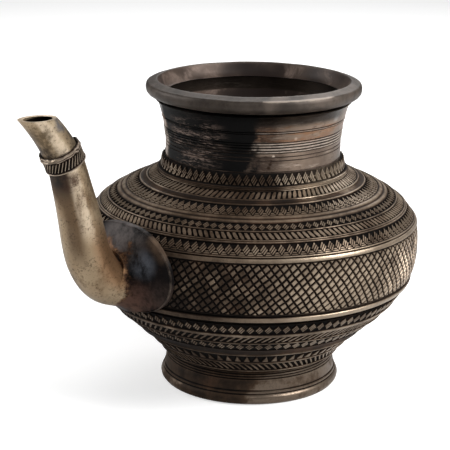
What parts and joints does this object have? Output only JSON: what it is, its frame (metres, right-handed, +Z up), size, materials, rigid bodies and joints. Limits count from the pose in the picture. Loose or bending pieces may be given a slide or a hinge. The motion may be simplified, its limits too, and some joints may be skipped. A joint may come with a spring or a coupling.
{
  "type": "spouted water pot",
  "caption": "Squat round brass water pot with a tall neck, heavy rim, ring foot and a curved pouring spout on a saddle flange.",
  "frame": {"origin": "on the ground, under the middle of the whole pot with its spout", "axes": "+Z up through the mouth; the spout points towards -X; the pot is mirror symmetric across the XZ plane"},
  "size_m": [0.1998, 0.1508, 0.1394],
  "materials": {
    "dark_brass": "dark brown patina, worn bright on the raised carving",
    "sooty_brass": "soot-black patina with bare tan patches",
    "worn_brass": "handled bright, silvery tan with brown streaks"
  },
  "bodies": {
    "root": {"foot_ring": "dark_brass", "lower_bowl": "dark_brass", "belly_band": "dark_brass", "shoulder": "dark_brass", "neck_tube": "sooty_brass", "rim_ring": "sooty_brass", "spout_flange": "sooty_brass", "spout_tube": "worn_brass", "spout_ring": "worn_brass", "spout_tip": "worn_brass"}
  },
  "joints": []
}
